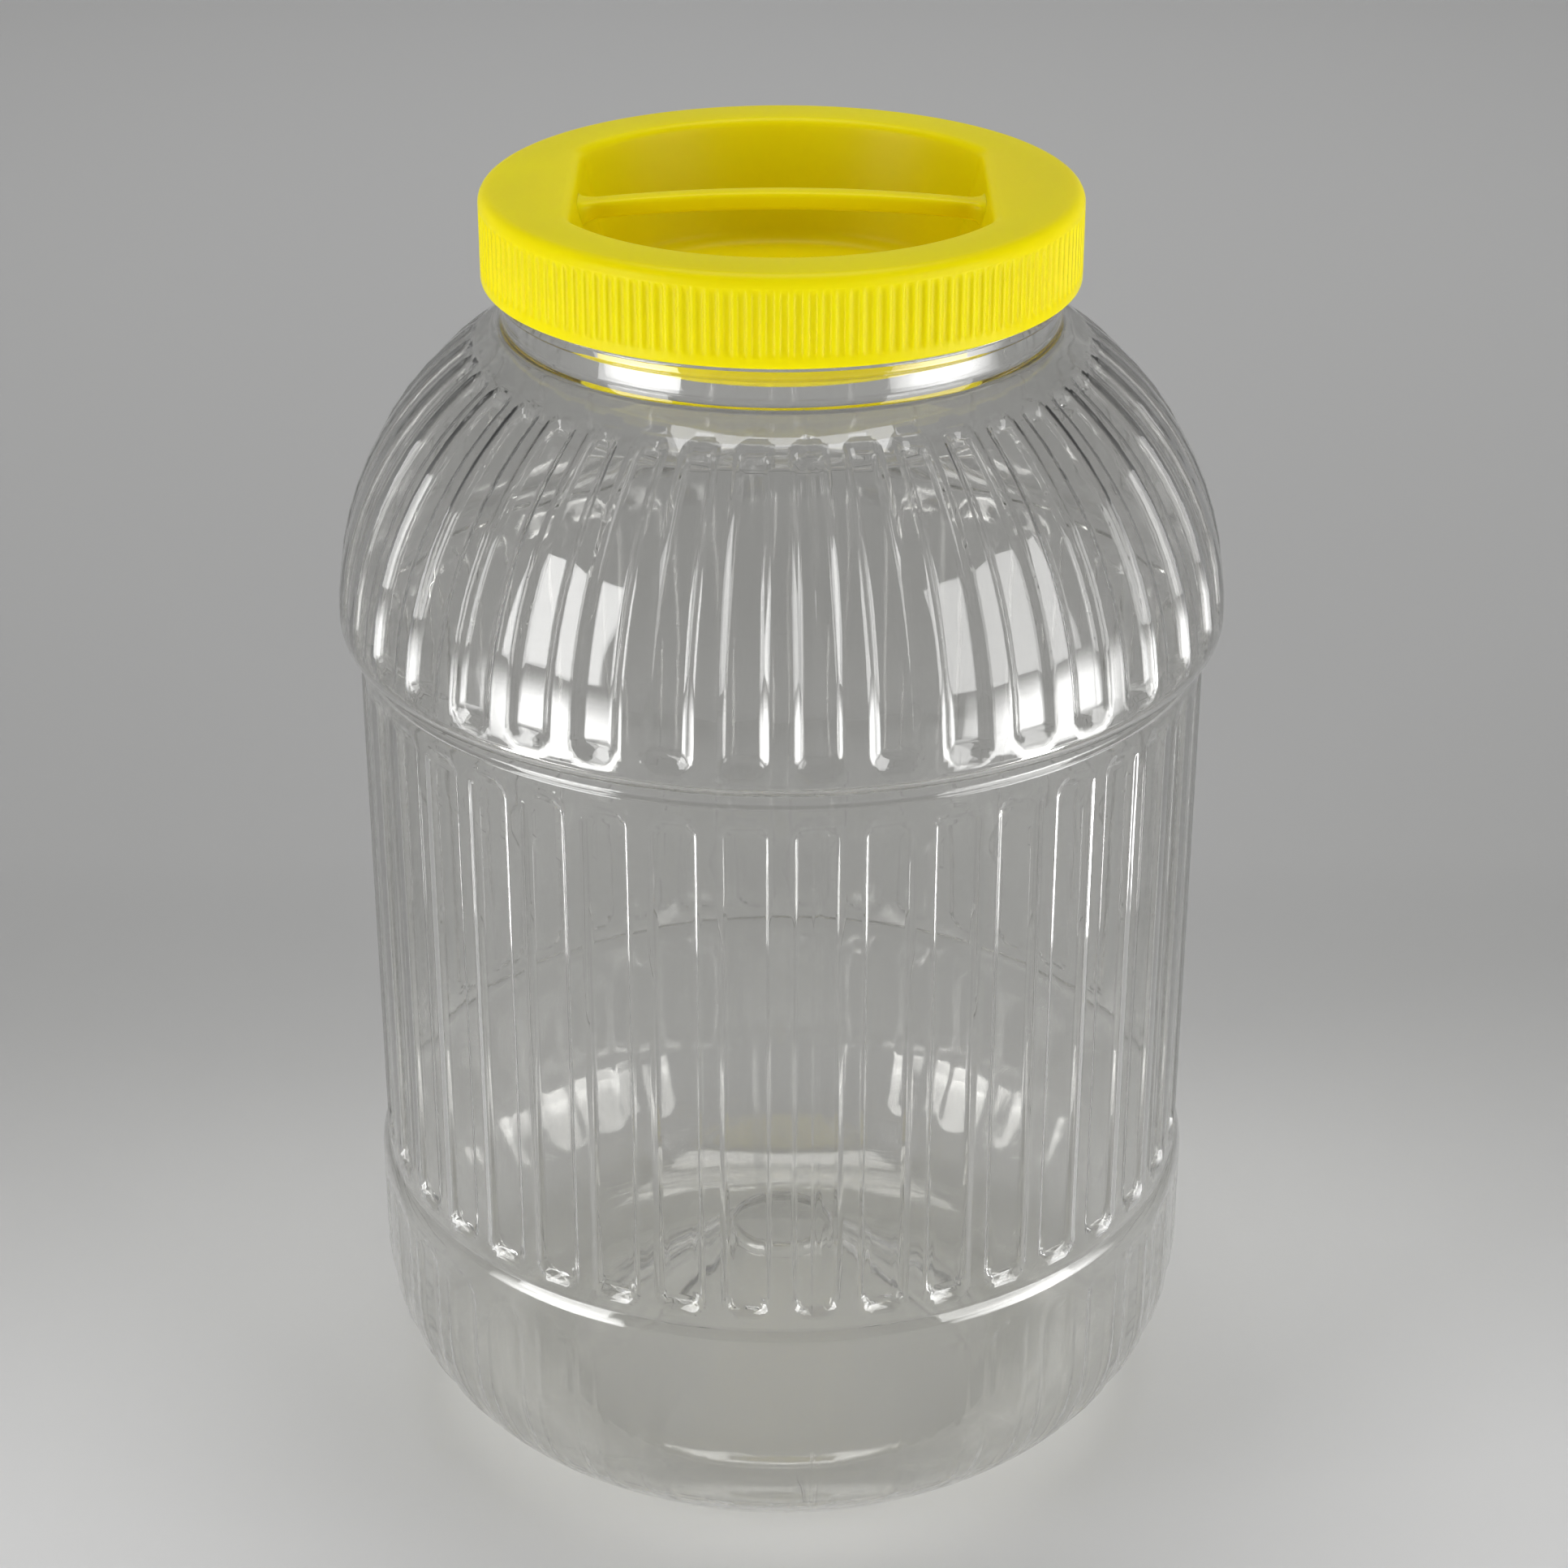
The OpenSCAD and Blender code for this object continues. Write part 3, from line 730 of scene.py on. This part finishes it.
pits = add("ShaderNodeBump", Strength=0.06, Distance=0.0002)
link(grain.outputs["Fac"], pits.inputs["Height"])
link(pits.outputs["Normal"], shader.inputs["Normal"])
lid.data.materials.append(yellow)
bar.data.materials.append(yellow)
print("the lid's finish has", len(yellow.node_tree.nodes), "nodes")

# %% [markdown]
# ## White foam
# The sealing ring is closed-cell foam: matt, slightly mottled, with tiny cells.

# %% Foam
foam, shader, add, link = new_finish("white_seal_foam")
place = add("ShaderNodeTexCoord")
cells = add("ShaderNodeTexVoronoi", Scale=1400.0)
link(place.outputs["Object"], cells.inputs["Vector"])
mottle = add("ShaderNodeValToRGB")
mottle.color_ramp.elements[0].color = (0.74, 0.74, 0.70, 1)
mottle.color_ramp.elements[1].color = (0.83, 0.83, 0.80, 1)
link(cells.outputs["Distance"], mottle.inputs["Fac"])
link(mottle.outputs["Color"], shader.inputs["Base Color"])
shader.inputs["Roughness"].default_value = 0.85
pores = add("ShaderNodeBump", Strength=0.3, Distance=0.0002)
link(cells.outputs["Distance"], pores.inputs["Height"])
link(pores.outputs["Normal"], shader.inputs["Normal"])
seal.data.materials.append(foam)
print("the seal's finish has", len(foam.node_tree.nodes), "nodes")

# %% [markdown]
# ## The studio
# The jar stands on a seamless sheet of pale paper that curves up behind it, so no edge shows through
# the clear wall. A flat sheet with a bend is a stack of straight rows. The paper's grey carries painted
# light and shade: it is painted paler close to the camera and far behind the jar, and darker just behind
# it, a painted shade that gives the jar a soft darker ground.

# %% The seamless sheet
SWEEP_HALF, SWEEP_FRONT, SWEEP_BEND, SWEEP_R, SWEEP_TOP = 1350.0, -2600.0, 1900.0, 900.0, 2600.0
bend = arc((SWEEP_BEND, SWEEP_R), SWEEP_R, -90, 0, 24)
side_view = np.concatenate([[[SWEEP_FRONT, 0.0]], bend, [[SWEEP_BEND + SWEEP_R, SWEEP_TOP]]])
sheet_points = [(x, y, z) for y, z in side_view for x in (-SWEEP_HALF, SWEEP_HALF)]
sheet_faces = [[2 * i, 2 * i + 1, 2 * i + 3, 2 * i + 2] for i in range(len(side_view) - 1)]
sweep = put_in_scene("sweep", sheet_points, sheet_faces)

# %% The paper, with painted light and shade
PAPER_NEAR, PAPER_FAR = -250.0, 1400.0
# Painted light and shade: the paper's grey at each depth (y in mm, grey), paler near the camera and far
# back, darker just behind the jar
PAPER_PAINTED_LIGHT = ((-120.0, 0.78), (60.0, 0.55), (230.0, 0.31), (1250.0, 0.86))
paper, shader, add, link = new_finish("pale_paper_painted_light")
place = add("ShaderNodeTexCoord")
split = add("ShaderNodeSeparateXYZ")
link(place.outputs["Object"], split.inputs["Vector"])
depth = add("ShaderNodeMapRange")
depth.inputs["From Min"].default_value = PAPER_NEAR * MM
depth.inputs["From Max"].default_value = PAPER_FAR * MM
link(split.outputs["Y"], depth.inputs["Value"])
# A smooth ramp that paints this light and shade into the paper's colour along its depth
painted_light_ramp = add("ShaderNodeValToRGB")
painted_light_ramp.color_ramp.interpolation = "B_SPLINE"
while len(painted_light_ramp.color_ramp.elements) < len(PAPER_PAINTED_LIGHT):
    painted_light_ramp.color_ramp.elements.new(0.5)
for stop, (y, grey) in zip(painted_light_ramp.color_ramp.elements, PAPER_PAINTED_LIGHT):
    stop.position = (y - PAPER_NEAR) / (PAPER_FAR - PAPER_NEAR)
    stop.color = (grey, grey, grey * 0.995, 1)
link(depth.outputs["Result"], painted_light_ramp.inputs["Fac"])
link(painted_light_ramp.outputs["Color"], shader.inputs["Base Color"])
fleck = add("ShaderNodeTexNoise", Scale=700.0, Detail=3.0)
link(place.outputs["Object"], fleck.inputs["Vector"])
tooth = add("ShaderNodeBump", Strength=0.1, Distance=0.0002)
link(fleck.outputs["Fac"], tooth.inputs["Height"])
link(tooth.outputs["Normal"], shader.inputs["Normal"])
shader.inputs["Roughness"].default_value = 0.8
sweep.data.materials.append(paper)
print("the paper has", len(PAPER_PAINTED_LIGHT), "shades")

# %% [markdown]
# ## Lamps
# Clear plastic shows its lamps as bright shapes, so where they stand matters more than how strong they
# are. Two soft windows, left and right and on the camera's side, give the highlights on the dome and in
# the flutes. Two low panels near the jar carry those highlights down to the lip of the dome. Their beam
# is narrow, so that they don't bleach the paper, and they fade upwards, as the highlights do.

# %% Windows
def aim(held, height):
    """Turns a lamp or the camera to a point on the jar's axis."""
    held.rotation_euler = (Vector((0, 0, height)) - held.location).to_track_quat("-Z", "Y").to_euler()


def window(name, place_mm, width, height, watts):
    """A large soft lamp that faces the jar's axis."""
    lamp = bpy.data.lights.new(name, "AREA")
    lamp.shape, lamp.size, lamp.size_y, lamp.energy = "RECTANGLE", width * MM, height * MM, watts
    held = bpy.data.objects.new(name, lamp)
    held.location = Vector(place_mm) * MM
    aim(held, held.location.z)
    bpy.context.scene.collection.objects.link(held)
    print(name, "gives", watts, "W")
    return held


window("window_left", (-1270, -800, 650), 700, 900, 11)
window("window_right", (1300, -750, 650), 1050, 1000, 12)

# %% Low panels near the jar
BEAM_Z, BEAM_SPREAD = 200.0, 60.0


def panel(name, place_mm, width, height, watts):
    """A near lamp with a narrow beam at the dome, dimmer towards its upper edge."""
    held = window(name, place_mm, width, height, watts)
    aim(held, BEAM_Z * MM)
    lamp = held.data
    lamp.spread = math.radians(BEAM_SPREAD)
    lamp.use_nodes = True
    tree = lamp.node_tree
    across = tree.nodes.new("ShaderNodeNewGeometry")
    split = tree.nodes.new("ShaderNodeSeparateXYZ")
    fade = tree.nodes.new("ShaderNodeMapRange")
    fade.interpolation_type = "SMOOTHSTEP"
    fade.inputs["From Min"].default_value, fade.inputs["From Max"].default_value = 0.5, 1.0
    fade.inputs["To Min"].default_value, fade.inputs["To Max"].default_value = 1.0, 0.0
    tree.links.new(across.outputs["Parametric"], split.inputs["Vector"])
    tree.links.new(split.outputs["Y"], fade.inputs["Value"])
    tree.links.new(fade.outputs["Result"], tree.nodes["Emission"].inputs["Strength"])


panel("panel_left", (-419, -272, 95), 330, 190, 0.26)
panel("panel_right", (467, -179, 95), 510, 190, 0.36)

# %% [markdown]
# One more lamp looks straight down from above, a little behind the jar, and lights the lid's top and the
# paper. The room around is dim: grey near the floor and darker upwards, so that the front of the dome,
# which mirrors the upper part of the room, stays dark.

# %% The lamp above and the room
SKY_STOPS, SKY_GREYS = (0.1, 0.55), (0.33, 0.05)
overhead = window("overhead", (0, 350, 1500), 900, 900, 11)
overhead.rotation_euler = (0, 0, 0)
world = bpy.data.worlds.new("room")
bpy.context.scene.world = world
world.use_nodes = True
tree = world.node_tree
facing_to = tree.nodes.new("ShaderNodeTexCoord")
upward = tree.nodes.new("ShaderNodeSeparateXYZ")
sky = tree.nodes.new("ShaderNodeValToRGB")
for stop, place_up, grey in zip(sky.color_ramp.elements, SKY_STOPS, SKY_GREYS):
    stop.position, stop.color = place_up, (grey, grey, grey, 1)
tree.links.new(facing_to.outputs["Generated"], upward.inputs["Vector"])
tree.links.new(upward.outputs["Z"], sky.inputs["Fac"])
tree.links.new(sky.outputs["Color"], tree.nodes["Background"].inputs["Color"])

# %% [markdown]
# ## The camera
# The camera stands in front of the jar and looks down on it. Its height, tilt and lens come from the
# shapes of the jar's round edges in the picture.

# %% The camera
CAMERA_AT, LOOKS_AT_Z = (0, -616.25, 442.9), 137.0
FRAME_PX, FOCAL_PX, AXIS_PX = 1932, 4150, 963
eye = bpy.data.cameras.new("camera")
eye.lens = eye.sensor_width * FOCAL_PX / FRAME_PX
eye.shift_x = (FRAME_PX / 2 - AXIS_PX) / FRAME_PX
camera = bpy.data.objects.new("camera", eye)
camera.location = Vector(CAMERA_AT) * MM
aim(camera, LOOKS_AT_Z * MM)
bpy.context.scene.collection.objects.link(camera)
bpy.context.scene.camera = camera
bpy.context.scene.view_settings.view_transform = "Standard"
print("lens", round(eye.lens, 2), "mm")
